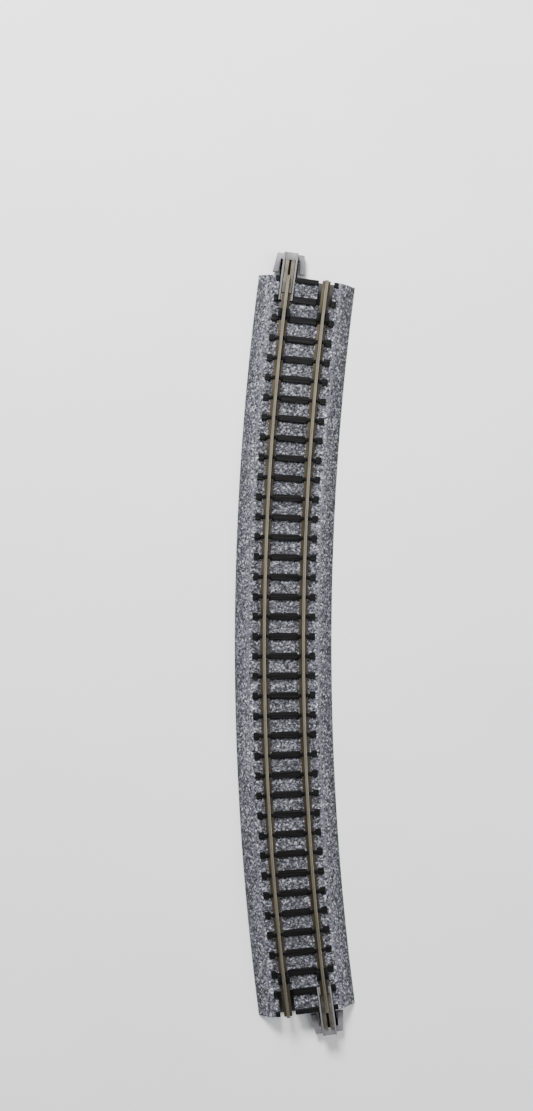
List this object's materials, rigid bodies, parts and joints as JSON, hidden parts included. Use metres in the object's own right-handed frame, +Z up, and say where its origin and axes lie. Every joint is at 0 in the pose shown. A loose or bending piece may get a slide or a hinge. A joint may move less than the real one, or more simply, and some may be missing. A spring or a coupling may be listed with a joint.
{
  "type": "model railway curved track section",
  "caption": "Curved length of model railway track: two metal rails on dark sleepers, set in a granular moulded ballast roadbed, with a push-fit rail joiner at each end.",
  "frame": {"origin": "middle of the track's centreline, on the surface that the section stands on", "axes": "+Z up, towards the rail heads; +X along the track at its middle, towards end A; +Y towards the outside of the curve"},
  "size_m": [0.2007, 0.031, 0.007],
  "materials": {
    "ballast_plastic": "speckled grey granular moulding",
    "sleeper_plastic": "near-black brown, wood grain",
    "rail_metal": "drawn nickel silver, satin",
    "joiner_plastic": "light grey moulding",
    "fishplate_metal": "folded sheet"
  },
  "bodies": {
    "track": {"roadbed": "ballast_plastic", "sleeper_strip": "sleeper_plastic", "rail_outer": "rail_metal", "rail_inner": "rail_metal"},
    "joiner_a": {"joiner_a_clip": "joiner_plastic", "joiner_a_fishplate": "fishplate_metal"},
    "joiner_b": {"joiner_b_clip": "joiner_plastic", "joiner_b_fishplate": "fishplate_metal"}
  },
  "joints": [
    {"name": "joiner_a_pull", "type": "slide", "parent": "track", "child": "joiner_a", "axis": [0.9914, -0.1305, 0], "range_m": [0, 0.014], "deforming": ["joiner_a_clip"]},
    {"name": "joiner_b_pull", "type": "slide", "parent": "track", "child": "joiner_b", "axis": [-0.9914, -0.1305, 0], "range_m": [0, 0.014], "deforming": ["joiner_b_clip"]}
  ]
}
